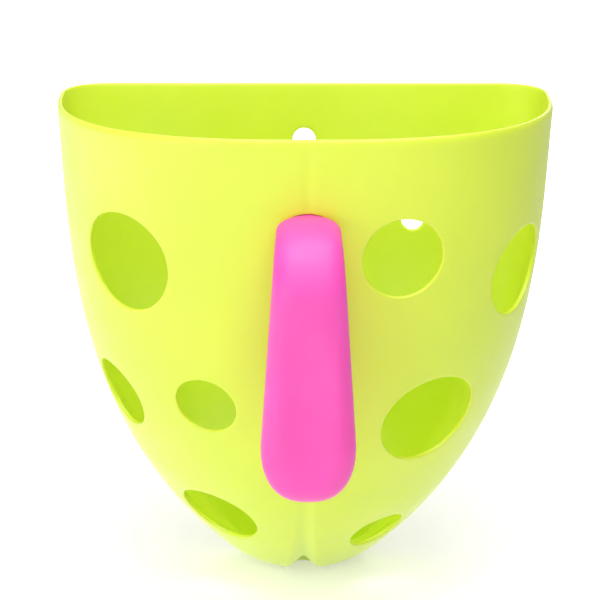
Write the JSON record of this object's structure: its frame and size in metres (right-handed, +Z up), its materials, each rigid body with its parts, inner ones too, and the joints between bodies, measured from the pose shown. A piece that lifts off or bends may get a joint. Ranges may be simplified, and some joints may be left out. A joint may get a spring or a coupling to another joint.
{
  "type": "bath toy organizer",
  "caption": "Wall-hung moulded basket for bath toys, with a flat back, a bulging creased front that tapers to a toe, round drain holes and an arched handle for use as a scoop.",
  "frame": {"origin": "On the flat back face, on the centre line, midway between the pair of hanging holes.", "axes": "+Y points out of the back face into the wall, so the front and the handle face -Y; +Z is up to the open rim; +X is to the right as seen from the front."},
  "size_m": [0.26, 0.1752, 0.274],
  "materials": {
    "lime_plastic": "satin gloss, moulded",
    "pink_plastic": "satin gloss, moulded",
    "stainless_steel": "turned"
  },
  "bodies": {
    "root": {"scoop_body": "lime_plastic", "handle_front_shell": "pink_plastic", "handle_rear_cover": "pink_plastic", "root_clamp_plate": "pink_plastic", "root_clamp_screw": "stainless_steel", "cover_screw_upper": "stainless_steel", "cover_screw_lower": "stainless_steel"}
  },
  "joints": []
}
